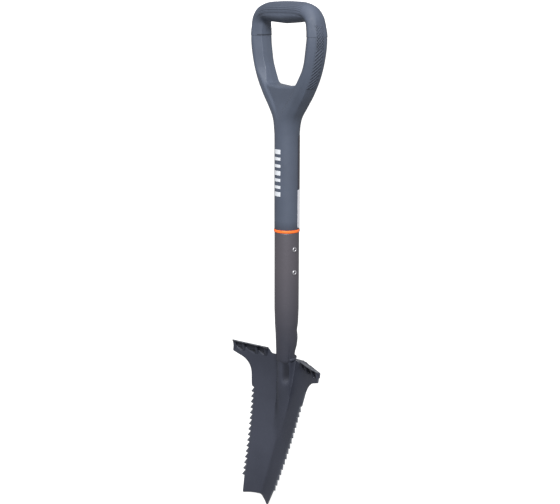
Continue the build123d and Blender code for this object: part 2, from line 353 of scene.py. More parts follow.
class Finish:
    """A Principled material and short calls that add nodes to it, all on Object coordinates."""

    def __init__(self, name, roughness, metallic=0.0, specular=0.5):
        self.material = bpy.data.materials.new(name)
        self.material.use_nodes = True
        self.tree = self.material.node_tree
        self.shader = self.tree.nodes["Principled BSDF"]
        self.shader.inputs["Roughness"].default_value = roughness
        self.shader.inputs["Metallic"].default_value = metallic
        self.shader.inputs["Specular IOR Level"].default_value = specular
        self.place = self.tree.nodes.new("ShaderNodeTexCoord").outputs["Object"]
        self.lump = None

    def node(self, kind, inputs=None, **settings):
        made = self.tree.nodes.new(kind)
        for key, value in settings.items():
            setattr(made, key, value)
        for key, value in (inputs or {}).items():
            if isinstance(value, bpy.types.NodeSocket):
                self.tree.links.new(value, made.inputs[key])
            else:
                made.inputs[key].default_value = value
        return made

    def stretched(self, scale):
        return self.node("ShaderNodeMapping", {"Vector": self.place, "Scale": scale}).outputs[0]

    def noise(self, scale, detail=3.0, roughness=0.55, vector=None):
        inputs = {"Vector": vector or self.place, "Scale": scale, "Detail": detail,
                  "Roughness": roughness}
        return self.node("ShaderNodeTexNoise", inputs).outputs["Fac"]

    def cells(self, scale, feature="F1"):
        inputs = {"Vector": self.place, "Scale": scale}
        return self.node("ShaderNodeTexVoronoi", inputs, feature=feature).outputs["Distance"]

    def band(self, value, low, high, start=0.0, end=1.0):
        """The value's share of the way from low to high, as start to end, clamped."""
        inputs = {"Value": value, "From Min": low, "From Max": high, "To Min": start, "To Max": end}
        return self.node("ShaderNodeMapRange", inputs).outputs[0]

    def maths(self, operation, a, b):
        return self.node("ShaderNodeMath", {0: a, 1: b}, operation=operation).outputs[0]

    def blend(self, share, a, b):
        """Colour a to colour b by share."""
        made = self.node("ShaderNodeMix", data_type="RGBA")
        for socket, value in ((made.inputs[0], share), (made.inputs[6], a), (made.inputs[7], b)):
            if isinstance(value, bpy.types.NodeSocket):
                self.tree.links.new(value, socket)
            elif isinstance(value, tuple):
                socket.default_value = value + (1.0,)
            else:
                socket.default_value = value
        return made.outputs[2]

    def attribute(self, name):
        return self.node("ShaderNodeAttribute", attribute_name=name).outputs["Fac"]

    def up(self):
        """Object height in metres."""
        return self.node("ShaderNodeSeparateXYZ", {0: self.place}).outputs["Z"]

    def bump(self, height, strength, distance):
        inputs = {"Height": height, "Strength": strength, "Distance": distance}
        if self.lump is not None:
            inputs["Normal"] = self.lump
        self.lump = self.node("ShaderNodeBump", inputs).outputs[0]

    def glow(self, strength):
        self.shader.inputs["Emission Color"].default_value = (1.0, 1.0, 1.0, 1.0)
        self.shader.inputs["Emission Strength"].default_value = strength

    def done(self, colour, roughness=None):
        for key, value in (("Base Color", colour), ("Roughness", roughness), ("Normal", self.lump)):
            if value is not None:
                self.tree.links.new(value, self.shader.inputs[key])
        return self.material


def shade(colour, factor):
    """A colour made lighter or darker."""
    return tuple(min(1.0, c * factor) for c in colour)


def blade_coat(colours):
    """Satin powder coat: fine orange peel, cloudy gloss, scuffs, a rubbed edge lightened as wear and as
    painted highlight, and painted shade.
    """
    coat = Finish("powder coat, blade", 0.5, metallic=0.25, specular=0.32)
    base = tuple(colours.blade)
    cloud = coat.noise(14.0, 4.0)
    speck = coat.noise(900.0, 2.0)
    colour = coat.blend(coat.band(cloud, 0.35, 0.65), shade(base, 0.9), shade(base, 1.1))
    colour = coat.blend(coat.band(speck, 0.62, 0.72, 0.0, 0.35), colour, shade(base, 1.9))
    # Wear and painted highlight: the ground edge, the cut rims and the steps' lips are lightened in patches.
    wear_and_highlight_share = coat.maths("MULTIPLY", coat.attribute("edge"), coat.band(coat.noise(160.0, 4.0), 0.3, 0.6))
    colour = coat.blend(wear_and_highlight_share, colour, tuple(colours.edge))
    # Painted shade: the pressed cells under the steps and the dimples on the ridge are darkened almost to
    # black.
    painted_shade = coat.band(coat.attribute("painted_shade"), 0.1, 1.0, 0.0, 0.92)
    colour = coat.blend(painted_shade, colour, shade(base, 0.14))
    scuff = coat.noise(60.0, 5.0, 0.7, coat.stretched((1.0, 1.0, 0.12)))
    rough = coat.band(coat.maths("ADD", cloud, scuff), 0.7, 1.4, 0.40, 0.60)
    coat.bump(coat.noise(1100.0, 2.0), 0.25, 0.0002)
    coat.bump(coat.noise(260.0, 3.0), 0.18, 0.0004)
    return coat.done(colour, rough)


def tube_coat(colours):
    """Hammered metallic coat, brown-grey above and blue-grey below, with bright flakes."""
    coat = Finish("hammered coat, tube", 0.42, metallic=0.45, specular=0.3)
    top, low = tuple(colours.tube), tuple(colours.blade)
    up = coat.up()
    fade = coat.band(up, FOOT + 0.200, FOOT + 0.330)
    cloud = coat.noise(22.0, 4.0, 0.6)
    colour = coat.blend(fade, shade(low, 1.15), top)
    colour = coat.blend(coat.band(cloud, 0.3, 0.7, 0.0, 0.35), colour, shade(top, 0.8))
    flake = coat.cells(1500.0)
    colour = coat.blend(coat.band(flake, 0.12, 0.02, 0.0, 0.6), colour, shade(top, 2.2))
    pit = coat.cells(330.0, "SMOOTH_F1")
    coat.bump(pit, 0.28, 0.0005)
    coat.bump(coat.noise(1300.0, 2.0), 0.2, 0.0002)
    return coat.done(colour, coat.band(cloud, 0.3, 0.7, 0.36, 0.52))


def moulded(name, colour, roughness, grain, strength, shaded_creases=False):
    """Moulded plastic: fine spark-eroded grain, soft tone variation, faint flow streaks, and painted shade
    in creases.
    """
    plastic = Finish(name, roughness, specular=0.32)
    cloud = plastic.noise(18.0, 4.0)
    streak = plastic.noise(30.0, 4.0, 0.6, plastic.stretched((1.0, 1.0, 0.2)))
    tone = plastic.blend(plastic.band(cloud, 0.3, 0.7), shade(colour, 0.92), shade(colour, 1.08))
    tone = plastic.blend(plastic.band(streak, 0.55, 0.75, 0.0, 0.25), tone, shade(colour, 1.3))
    if shaded_creases:
        # Painted shade: grooves, rib valleys and pattern hollows are darkened in the colour.
        tone = plastic.blend(plastic.attribute("crease_shade"), tone, shade(colour, 0.3))
    plastic.bump(plastic.cells(grain), strength, 0.00025)
    plastic.bump(plastic.noise(grain * 0.35, 3.0), strength * 0.6, 0.0004)
    rough = plastic.band(plastic.noise(90.0, 3.0), 0.3, 0.7, roughness - 0.06, roughness + 0.08)
    return plastic.done(tone, rough)


def bright_steel():
    """Zinc-plated rivet steel with fine turning lines, dull patches and painted shade in the hollow."""
    steel = Finish("rivet steel", 0.3, metallic=0.9)
    cloud = steel.noise(400.0, 3.0)
    colour = steel.blend(cloud, srgb(150, 150, 155), srgb(205, 205, 210))
    # Painted shade: the hollow centre of each rivet is painted near black.
    colour = steel.blend(steel.attribute("hollow"), colour, srgb(38, 38, 42))
    steel.bump(steel.noise(2500.0, 2.0), 0.3, 0.0001)
    return steel.done(colour, steel.band(cloud, 0.3, 0.7, 0.25, 0.45))


def printed(name, colour, roughness):
    """Ink or label film: slight mottling and a faintly uneven surface."""
    film = Finish(name, roughness, specular=0.4)
    mottle = film.noise(500.0, 3.0)
    tone = film.blend(film.band(mottle, 0.3, 0.7), shade(colour, 0.93), shade(colour, 1.04))
    film.bump(film.noise(700.0, 2.0), 0.15, 0.0002)
    return film.done(tone, film.band(mottle, 0.3, 0.7, roughness - 0.05, roughness + 0.06))


def aluminium():
    """Drawn aluminium of the inner tube, with lengthwise draw marks."""
    metal = Finish("drawn aluminium", 0.35, metallic=1.0)
    lines = metal.noise(240.0, 3.0, 0.6, metal.stretched((4.0, 4.0, 0.05)))
    colour = metal.blend(lines, srgb(150, 152, 156), srgb(195, 197, 200))
    metal.bump(lines, 0.3, 0.0002)
    return metal.done(colour, metal.band(lines, 0.3, 0.7, 0.28, 0.45))


# ---------------------------------------------------------------- blade


def blade_edge():
    """Right-hand edge as (half width, height), lower corner to step: straight, teeth, shoulder arc, side."""
    depth = chosen().tooth_depth
    run = (np.array(FIRST_ROOT) - np.array(LAST_ROOT)) / TOOTH_COUNT
    roots = np.array(LAST_ROOT) + np.arange(TOOTH_COUNT)[:, None] * run
    shape = np.array([(0, 0), (0.15, 0.35), (depth - 0.25, 1.15), (depth, 1.55), (depth - 0.2, 2.0)])
    teeth = (roots[:, None] + shape[None]).reshape(-1, 2)
    corner = np.array([(27.6, 0), (28.5, 0.35), (28.9, 1.0), (29.2, 2.0)])
    start = (FIRST_ROOT[0] + depth - 0.5, FIRST_ROOT[1] + 1.9)
    shoulder = rounded_path([start, SHOULDER_CORNER, (97.0, 192.5)], [SHOULDER_RADIUS], 1.0)
    rise = np.array([(97.4, 194.0), (98.0, TREAD_HEIGHT)])
    return np.concatenate([corner, teeth, [FIRST_ROOT], shoulder, rise])


def plate_depth(x, z):
    """Front of the dished, swept sheet: y falls with t and t^2, t below the steps, and with |x|."""
    t = TREAD_HEIGHT - z
    fold = np.sqrt(x * x + 4.0) - 2.0
    return DISH_TOP_Y - DISH_SLOPE * t - DISH_CURVE * t * t - WING_SWEEP * fold


def cell_share(x, z):
    """1 inside the cells pressed under the steps: each is a triangle, taller towards the shaft."""
    side = np.abs(x)
    share = 0 * side
    for inner, outer in CELLS:
        floor = CELL_FLOOR + CELL_FLOOR_RISE * np.clip((side - inner) / (outer - inner), 0, 1)
        within = ramp(side, inner, inner + CELL_SIDE) * (1 - ramp(side, outer - CELL_SIDE, outer))
        within = within * (1 - ramp(z, CELL_TOP, CELL_TOP + 2.0))
        share = np.maximum(share, within * ramp(z, floor - 1.0, floor + CELL_SIDE))
    return share


def dimple_share(x, z):
    """1 in the dimple on each flank of the ridge, falling off evenly round it."""
    turn = np.degrees(np.arcsin(np.clip(np.abs(x) / NECK_RADIUS, 0, 1)))
    return np.exp(-((turn - DIMPLE_TURN) / 20) ** 4 - ((z - DIMPLE_HEIGHT) / 14) ** 4)


def blade_front(x, z):
    """Smooth minimum of the sheet and of the ridge, a half cylinder dimpled on both flanks."""
    side = np.abs(x)
    inside = np.sqrt(np.maximum(NECK_RADIUS ** 2 - side ** 2, 0))
    dimple = chosen().dimple_depth * dimple_share(x, z)
    ridge = -inside + dimple + 5.0 * np.maximum(side - NECK_RADIUS, 0)
    sheet = plate_depth(x, z) + chosen().cell_depth * cell_share(x, z)
    return smooth_min(sheet, ridge, RIDGE_FILLET)


def ground_recess(x, z):
    """How far the ground edge falls back: it grows evenly outside a line inside the tooth roots."""
    width = chosen().bevel_width
    edge = blade_edge()
    upper = edge[edge[:, 1] > FIRST_ROOT[1] + 6]
    line = np.concatenate([[(CORNER_HALF_WIDTH, 0), LAST_ROOT, FIRST_ROOT], upper])
    root_line = np.interp(z, line[:, 1], line[:, 0])
    beyond = np.maximum(np.abs(x) - (root_line - width), 0)
    from_below = np.maximum(width + BOTTOM_ARCH * (1 - np.abs(x) / CORNER_HALF_WIDTH) - z, 0)
    return (0.2 * beyond + 0.25 * from_below) * (1 - ramp(z, *GROUND_END)), beyond + from_below


def top_line(x):
    """Height of the sheet's top edge: low beside the shaft, a short slope, then the fold of the step."""
    side = np.abs(x)
    fold = FOLD_HEIGHT * ramp(side, SEAT_END, FOLD_START)
    return SEAT_HEIGHT + fold + 1.5 * np.clip((side - 41) / 57, 0, 1)


def blade_shell():
    """Closed shell of the sheet: grid across (fixed band, then share of the half width) and up."""
    edge = blade_edge()
    heights = [np.linspace(0.8, 21, 9), np.linspace(150, 176, 16), np.linspace(177, TREAD_HEIGHT, 34)]
    run = (FIRST_ROOT[1] - LAST_ROOT[1]) / TOOTH_COUNT
    roots = LAST_ROOT[1] + np.arange(TOOTH_COUNT) * run
    toothed = np.concatenate([roots + 0.50 * run, roots + 0.75 * run])
    up = np.unique(np.round(np.concatenate([edge[:, 1], toothed, *heights]), 2))
    up = up[np.concatenate([[True], np.diff(up) > 0.12])]
    half = np.interp(up, edge[:, 1], edge[:, 0])[:, None]
    band = np.concatenate([np.linspace(0, 10, 8), np.linspace(11, 17.5, 13),
                           np.linspace(18.8, INNER_BAND, 4)])
    share = 1 - (1 - np.linspace(0, 1, 53)[1:]) ** 1.25
    right = np.concatenate([band[None] + 0 * half, INNER_BAND + (half - 0.2 - INNER_BAND) * share], 1)
    x = np.concatenate([-right[:, :0:-1], right], 1)
    z = up[:, None] + 0 * x
    low = (1 - ramp(z, 0, 14)) * BOTTOM_ARCH * np.clip(1 - (x / CORNER_HALF_WIDTH) ** 2, 0, 1)
    high = np.clip((z - 188) / (TREAD_HEIGHT - 188), 0, 1)
    z = z + low + high * (top_line(x) - TREAD_HEIGHT)
    tiny = 0.02
    y = blade_front(x, z)
    slope_x = (blade_front(x + tiny, z) - blade_front(x - tiny, z)) / (2 * tiny)
    slope_z = (blade_front(x, z + tiny) - blade_front(x, z - tiny)) / (2 * tiny)
    inward = unit(np.stack([-slope_x, 1 + 0 * y, -slope_z], -1))
    recess, beyond = ground_recess(x, z)
    base = np.stack([x, y, z], -1)
    front = base + inward * recess[..., None]
    back = base + inward * SHEET
    out = np.array([RIM, 0, 0])
    low_mid, high_mid = mix(front, back, 0.3), mix(front, back, 0.7)
    loop = np.concatenate([front, low_mid[:, -1:] + out, high_mid[:, -1:] + out, back[:, ::-1],
                           high_mid[:, :1] - out, low_mid[:, :1] - out], 1)
    count = x.shape[1]

    def rim(row, step):
        """The section at one end, squeezed to the middle of the sheet and moved past its edge."""
        squeezed = loop[row].copy()
        squeezed[:count] = low_mid[row]
        squeezed[count + 2:2 * count + 2] = high_mid[row][::-1]
        squeezed[:, 2] += step
        return squeezed[None]

    points = np.concatenate([rim(0, -RIM), loop, rim(-1, RIM)])
    rows, columns = points.shape[:2]
    faces = [grid_faces(rows, columns, closed=True)]
    across = np.arange(count - 1)
    for row in (0, rows - 1):
        start = row * columns
        behind = start + 2 * count + 1 - across
        faces.append(np.stack([start + across, start + across + 1, behind - 1, behind], 1))
        ends = [[count - 1, count, count + 1, count + 2], [2 * count + 1, 2 * count + 2, 2 * count + 3, 0]]
        faces.append(np.array(ends) + start)
    # Rubbed edge, partly wear and partly painted highlight, growing where the ground edge falls back.
    rubbed_and_highlighted = np.clip(beyond / (chosen().bevel_width + 3), 0, 1) ** 1.5 * (1 - ramp(z, *GROUND_END))
    one = np.ones((x.shape[0], 2))
    wear_and_highlight = np.concatenate([rubbed_and_highlighted, one, rubbed_and_highlighted[:, ::-1] * 0.6, one], 1)
    wear_and_highlight = np.pad(wear_and_highlight, ((1, 1), (0, 0)), constant_values=1)
    # Painted shade values: the cells under the steps and the ridge's dimples, on the front only.
    painted_shade = np.zeros_like(wear_and_highlight)
    painted_shade[1:-1, :count] = np.maximum(cell_share(x, z), 0.7 * dimple_share(x, z))
    return (points, np.concatenate(faces)), wear_and_highlight, painted_shade


def step_frame(x):
    """Fold point and forward direction of the right step at distance x, in plan square to the wing."""
    fold = np.stack([x, plate_depth(x, TREAD_HEIGHT), top_line(x)], -1)
    forward = np.array([-WING_SWEEP, -1.0, 0.0]) / math.hypot(1, WING_SWEEP)
    return fold, forward


def step_depth(x):
    """Depth of the step: full at its inner end, three quarters further out, and pinched at the tip."""
    return chosen().step_depth * np.interp(x, [STEP_INNER, 89, 96, STEP_OUTER], [1.0, 0.74, 0.42, 0.22])


def step_shell():
    """Right foot step: the folded section (forward, up), with rounded fold and lip, carried outwards."""
    x = np.concatenate([[STEP_INNER, STEP_INNER + 0.25], np.linspace(STEP_INNER + 1, STEP_OUTER - 1, 50),
                        [STEP_OUTER - 0.25, STEP_OUTER]])
    depth = step_depth(x)[:, None]
    swell = np.ones_like(x)
    swell[[0, -1]] = 0.86
    turn = np.radians([200, 180, 155, 130, 108])
    fold_out = np.stack([0.1 + 2.6 * np.cos(turn), -1.6 + 2.6 * np.sin(turn)], -1)
    forward = [(-0.4, -7.5), (-1.9, -7.5), (-2.1, -4.5)]
    shape = np.concatenate([forward, fold_out])
    columns = [shape[None] + 0 * depth[..., None]]
    lip_turn = np.radians([110, 70, 30, -10, -50, -70])
    lip = np.stack([1.05 * np.cos(lip_turn), 1.05 * np.sin(lip_turn)], -1)
    lip_middle = np.concatenate([depth - 1.0, 0.05 + STEP_RISE * depth], 1)
    columns.append(lip_middle[:, None] + lip[None])
    under = np.array([(1.6, -1.15), (0.7, -2.0), (0.25, -3.2), (0.1, -5.0), (-0.3, -6.5)])
    columns.append(under[None] + 0 * depth[..., None])
    section = np.concatenate(columns, 1)
    middle = section.mean(1, keepdims=True)
    section = middle + (section - middle) * swell[:, None, None]
    fold, ahead = step_frame(x)
    points = fold[:, None] + section[..., :1] * ahead + section[..., 1:] * np.array([0, 0, 1.0])
    return round_shell(fanned(points))


def gusset_shell(place):
    """Pressed rib under the step: a rounded U section that narrows forwards as it runs down the sheet."""
    down = np.linspace(0, 1, 14)
    wide = 1.2 * np.array([-1.9, -1.9, -1.75, -1.25, -0.6, 0, 0.6, 1.25, 1.75, 1.9, 1.9])
    nose = np.array([0, 0.5, 0.8, 0.95, 0.99, 1.0, 0.99, 0.95, 0.8, 0.5, 0])
    reach = 0.6 * step_depth(np.array(place)) * (1 - down) ** 0.9 + 0.05
    up = mix(STEP_RISE * reach[0] - 1.2, -GUSSET_RUN, down)
    fold, ahead = step_frame(np.array(place))
    level = fold[2] + up
    x = place + wide[None] + 0 * level[:, None]
    sheet = blade_front(x, level[:, None] + 0 * x)
    sheet_above = plate_depth(x, np.minimum(level[:, None], fold[2]) + 0 * x)
    sheet = np.where(level[:, None] > 199, sheet_above, sheet)
    push = -0.9 + (reach[:, None] + 0.9) * nose[None]
    points = np.stack([x + push * ahead[0], sheet + push * ahead[1], level[:, None] + 0 * x], -1)
    return round_shell(fanned(points))


def blade_parts():
    """Sheet, both steps and their ribs, with the values of every point for the rubbed edge with its painted
    highlight, and for painted shade.
    """
    sheet, wear_and_highlight, painted_shade = blade_shell()
    parts, edges, painted_shade_values = [sheet], [wear_and_highlight.ravel()], [painted_shade.ravel()]
    step = step_shell()
    # Painted highlight: the top and front of each step's lip are marked to be lightened.
    lip = np.zeros(step[0].shape[:2])
    lip[:, 8:12] = 1.0
    ribs = [(gusset_shell(place), None) for place in GUSSET_PLACES]
    for shell, value in [(step, lip)] + ribs:
        value = np.zeros(shell[0].shape[:2]) if value is None else value
        for version in (shell, mirrored(*shell, 0)):
            parts.append(version)
            edges.append(value.ravel())
            painted_shade_values.append(0 * value.ravel())
    return parts, {"edge": np.concatenate(edges), "painted_shade": np.concatenate(painted_shade_values)}


# ---------------------------------------------------------------- shaft


def tube_shell():
    """Socket tube: radius is the lathe profile, less a pinch and pleats on both back corners low down."""
    outer = np.array([(RING_LOW, TUBE_RADIUS - 0.5), (RING_LOW - 0.5, TUBE_RADIUS), (275, TUBE_RADIUS),
                      (250, 16.5), (238, 15.7), (228, 15.35), (214, 14.9), (204, 14.8), (199, JOINT_RADIUS)])
    high = np.concatenate([[RING_LOW, RING_LOW - 0.25, RING_LOW - 0.5], np.linspace(RING_LOW - 2, 250, 34),
                           np.linspace(248, JOINT_HEIGHT, 50),
                           JOINT_HEIGHT - 11 * np.sin(np.linspace(0.1, 0.5 * math.pi, 10))])
    radius = np.interp(-high, -outer[:, 0], outer[:, 1])
    closing = np.sqrt(np.clip(1 - ((JOINT_HEIGHT - high) / 11.0) ** 2, 0, 1))
    radius = np.where(high < JOINT_HEIGHT, JOINT_RADIUS * closing, radius)
    angle = np.linspace(-math.pi, math.pi, 128, endpoint=False)
    turn = np.degrees(angle)[None]
    z = high[:, None]
    swell = 0.55 * np.exp(-((z - 231) / 8) ** 2) - 0.9 * np.exp(-((z - 243) / 7) ** 2)
    pinch = swell - 3.0 * np.exp(-((z - 207) / 8.5) ** 2)
    from_corner = np.abs(np.abs(turn - 90) - 38)
    pinch = pinch * np.exp(-(from_corner / 34) ** 2) * ramp(z, 196, 200)
    side = np.minimum(np.abs(turn), 180 - np.abs(turn))
    toward_back = np.where(np.abs(turn) < 90, turn, np.sign(turn) * (180 - np.abs(turn)))
    pleat = np.maximum(np.cos(np.radians(toward_back - 10) * 22), 0) ** 3
    pleat = 0.55 * pleat * np.exp(-((z - 206) / 9) ** 4) * (side < 38)
    r = radius[:, None] + pinch - pleat
    points = round_axis(r, angle, z)
    bore = np.array([(0.0, 211.0), (SOCKET_BORE, 212.0), (SOCKET_BORE, RING_LOW - 0.4),
                     (SOCKET_BORE + 0.4, RING_LOW)])
    inner = round_axis(bore[:, :1], angle, bore[:, 1:])
    return round_shell(np.concatenate([inner, points]))


def weld_shell(start, sweep):
    """Weld bead: an upright oval carried round the joint, rippled and drawn in at both ends."""
    share = np.linspace(0, 1, 90)[:, None]
    angle = np.radians(start + sweep * share)
    around = np.linspace(0, 2 * math.pi, 18, endpoint=False)[None]
    ripple = 1 + 0.10 * np.abs(np.sin(share * sweep * 0.32)) + 0.05 * np.sin(share * 37)
    ends = np.sqrt(np.clip(1 - (2 * share - 1) ** 8, 0, 1))
    r = WELD_RADIUS * ripple * ends
    out = NECK_RADIUS + 0.2 + r * np.cos(around)
    return round_shell(round_axis(out, angle, JOINT_HEIGHT + 0.2 + 1.7 * r * np.sin(around)))


def ring_profile():
    """Collar: square section with rounded outer corners."""
    turn = np.linspace(0, math.pi / 2, 7)
    radius, low, high = TUBE_RADIUS + RING_OVERHANG, RING_LOW, RING_HIGH
    corner = 1.0
    lower = np.stack([radius - corner + corner * np.sin(turn), low + corner - corner * np.cos(turn)], 1)
    upper = np.stack([radius - corner + corner * np.cos(turn), high - corner + corner * np.sin(turn)], 1)
    return np.concatenate([[(RING_BORE, low)], lower, upper, [(RING_BORE, high), (RING_BORE, low)]])


def rivet_profile():
    """Tubular rivet along its axis: rolled rim, hollow centre, shank, and the same at the other end."""
    reach = TUBE_RADIUS + 1.15
    turn = np.radians(np.linspace(180, 0, 9))
    middle, roll = RIVET_RIM
    rim = np.stack([middle + roll * np.cos(turn), reach - 0.9 + 0.9 * np.sin(turn)], 1)
    hollow = [(0, reach - 2.4), (1.35, reach - 2.4)]
    half = np.concatenate([hollow, rim, [(3.6, reach - 1.6), (2.4, reach - 1.9)]])
    other = half[::-1] * np.array([1, -1])
    return np.concatenate([half, other])


# ---------------------------------------------------------------- handle


def handle_paths():
    """Right half of the outer outline and of the opening, both from the bottom up to the centre line."""
    flare = [(STEM_RADIUS, RING_HIGH), (STEM_RADIUS, 450), (STEM_RADIUS, 500), (17.9, 524), (21.2, 541),
             (31, 556), (45, 575), (59.5, 600.5), (67, 622), (WIDEST, 650), (69.7, 666), (66.2, 681.3),
             (57.3, 692), (40, CROWN - 1.9), (20, CROWN - 0.4), (0, CROWN), (-20, CROWN - 0.4)]
    outer = resample(smooth_path(flare, 0.2), 0.25)
    outer = np.concatenate([outer[outer[:, 0] > 0.05], [(0, CROWN)]])
    corners = [(0, OPENING_BOTTOM), (31, 590), (43.2, 620), (49, 655), (47.5, 675.5), (30, 673.2),
               (0, 671.4)]
    opening = rounded_path(corners, [8, 60, 60, 6, 60], 0.25)
    return outer, opening


def handle_depth(x, z, from_edge, from_opening, behind=False):
    """Half depth of the handle, in front or behind, from the distances to its outline and opening.
    Stem: a circle.  Legs: a steep side, a bevel and a narrow front.  Bar: a rounded section.
    The three are mixed by height, the bar later at its corners, and the web below the opening is sunk."""
    radius = STEM_RADIUS
    stem = radius * np.sqrt(1 - (1 - np.clip(from_edge / radius, 0, 1)) ** 2)
    bevel = 9.8 + 1.25 * (from_edge - 0.7) if behind else 8.0 + 0.80 * (from_edge - 0.57)
    side = smooth_min(14.0 * from_edge, bevel, 2.4)
    leg = smooth_min(side, LEG_HALF_DEPTH + 0 * side, 1.6)
    wall = mix(10.8, 9.4 if behind else 6.8, ramp(z, 588, 612))
    slope = mix(0.9, 1.2 if behind else 0.72, ramp(z, 588, 612))
    inner = smooth_min(14.0 * from_opening, wall + slope * (from_opening - 0.5), 2.0)
    web = 2.0 * ramp(from_edge, 15.0, 20.0) * ramp(z, 540, 566) * (1 - ramp(z, 640, 655))
    body = mix(stem, leg, ramp(z, 524, 572)) - web
    legs = smooth_min(body, inner, 1.6)
    top = BAR_HALF_DEPTH * np.sqrt(1 - (1 - np.clip(from_edge / 13.0, 0, 1)) ** 2)
    under = BAR_HALF_DEPTH * np.sqrt(1 - (1 - np.clip(from_opening / 12.0, 0, 1)) ** 2)
    bar = smooth_min(top, under, 1.2)
    return np.maximum(mix(legs, bar, ramp(z, 652, mix(674, 694, ramp(np.abs(x), 42, 60)))), 0)


def handle_patch(behind=False):
    """Front or back right quarter of the handle: rows run from the outline to the centre line or opening."""
    outer, opening = handle_paths()
    centre = np.linspace((0, RING_HIGH), (0, OPENING_BOTTOM), 800)
    inner_length = OPENING_BOTTOM - RING_HIGH
    inner = np.concatenate([centre[:-1], opening])
    out_run, in_run = run_along(outer), run_along(inner)
    stations = [((STEM_RADIUS, RING_HIGH), (0, RING_HIGH)), ((STEM_RADIUS, 520), (0, 520)),
                ((21.2, 541), (0, 546)), ((31, 556), (0, 570)), ((38.5, 566), (0, OPENING_BOTTOM)),
                ((50, 583), (23, 589)), ((59.5, 600.5), (36, 602)), ((67, 622), (43.6, 622)),
                ((WIDEST, 650), (48.4, 650)), ((68.5, 670), (48.0, 669)), ((58, 689), (43.0, 674.8)),
                ((40, CROWN - 2.5), (30, 673.2)), ((0, CROWN), (0, 671.4))]
    spread = [10, 14, 14, 26, 20, 24, 22, 24, 18, 18, 14, 26]
    outs = [out_run[np.argmin(((outer - np.array(s[0])) ** 2).sum(1))] for s in stations]
    ins = [in_run[np.argmin(((inner - np.array(s[1])) ** 2).sum(1))] for s in stations]
    rows_out, rows_in = [], []
    for k, count in enumerate(spread):
        share = np.linspace(0, 1, count, endpoint=False)
        if abs(ins[k + 1] - inner_length) < 1:
            share = 1 - (1 - share) ** 2.2
        rows_out.append(mix(outs[k], outs[k + 1], share))
        rows_in.append(mix(ins[k], ins[k + 1], share))
    rows_out = np.concatenate(rows_out + [[outs[-1]]])
    rows_in = np.concatenate(rows_in + [[ins[-1]]])
    start = places_on(outer, out_run, rows_out)
    end = places_on(inner, in_run, rows_in)
    columns = 52
    share = (1 - np.cos(np.linspace(0, math.pi, columns))) / 2
    plane = start[:, None] + (end - start)[:, None] * share[None, :, None]
    x, z = plane[..., 0], plane[..., 1]
    from_edge, from_opening = gap_to(x, z, outer), gap_to(x, z, opening)
    y = -handle_depth(x, z, from_edge, from_opening, behind)
    y[:, 0] = 0
    opened = rows_in >= inner_length - 1e-6
    y[opened, -1] = 0
    x = np.where(np.abs(x) < 1e-6, 0, x)
    if behind:
        y = -y
    return np.stack([x, y, z], -1)


def both_sides(points):
    """A right-hand grid and its mirror image across the YZ plane."""
    faces = grid_faces(points.shape[0], points.shape[1])
    return [(points, faces), mirrored(points, faces, 0)]


def handle_shells():
    """The rigid handle: its front and back patches, both mirrored, with the foot rounded and closed."""
    shells = []
    for behind in (False, True):
        points = handle_patch(behind)
        ring = points[:1] * np.array([0.985, 0.985, 1.0])
        centre = ring * np.array([0, 0, 1.0])
        points[0] = points[0] + np.array([0, 0, 0.25])
        shells += both_sides(np.concatenate([centre, ring, points]))
    return shells


def surface_normals(points):
    """Unit normals of a grid: the cross product of its row and column differences, turned outwards."""
    along = np.gradient(points, axis=0)
    across = np.gradient(points, axis=1)
    normal = unit(np.cross(along, across))
    side = np.sign(points[..., 1:2].sum())
    return normal * np.where(normal[..., 1:2] * side < 0, -1, 1)


def sleeve_patch(behind):
    """One side of the soft grip: the handle surface moved out along its normals, with ribs and a groove.
    The second value is the painted shade of each point, from how deep in a crease it lies."""
    points = handle_patch(behind)
    start = np.flatnonzero((points[:, -1, 2] > SLEEVE_START) & (points[:, 0, 2] > 640))[0]
    points = points[start:]
    fine = np.linspace(0, points.shape[1] - 1, 2 * points.shape[1] - 1)
    whole = np.floor(fine).astype(int)
    part = (fine - whole)[None, :, None]
    after = np.minimum(whole + 1, points.shape[1] - 1)
    points = points[:, whole] * (1 - part) + points[:, after] * part
    normal = surface_normals(points)
    arc = np.cumsum(np.linalg.norm(np.diff(points, axis=1, prepend=points[:, :1]), axis=2), axis=1)
    reach = np.abs(points[..., 0])
    ribbed = (1 - ramp(reach, 42, 50)) * (1 - ramp(arc, 20, 22.5))
    ribs = np.cos(arc * 2 * math.pi / SLEEVE_RIB_PITCH) * ribbed
    groove = np.exp(-(arc - GROOVE_PLACE) ** 2) * (1 - ramp(reach, 46, 51))
    lift = chosen().sleeve_proud + 0.25 * ribs - 1.3 * groove
    # Painted shade in the groove, the rib valleys and along the sleeve's lower edge.
    crease_shade = np.maximum(groove, 0.45 * np.maximum(-ribs, 0))
    crease_shade[:2, 2 * points.shape[1] // 3:] = 0.8
    moved = points + normal * lift[..., None]
    lip = points[:1] - normal[:1] * 0.3 - np.array([0, 0, 0.1])
    moved = np.concatenate([lip, moved])
    moved[:, [0, -1], 1] = 0
    moved[-1, :, 0] = 0
    return moved, np.concatenate([crease_shade[:1], crease_shade])


def sleeve_shells():
    """Soft grip over the bar and both corners, with the painted shade of its creases."""
    shells, crease_shades = [], []
    for behind in (False, True):
        points, crease_shade = sleeve_patch(behind)
        shells += both_sides(points)
        crease_shades += [crease_shade.ravel(), crease_shade.ravel()]
    return shells, np.concatenate(crease_shades)


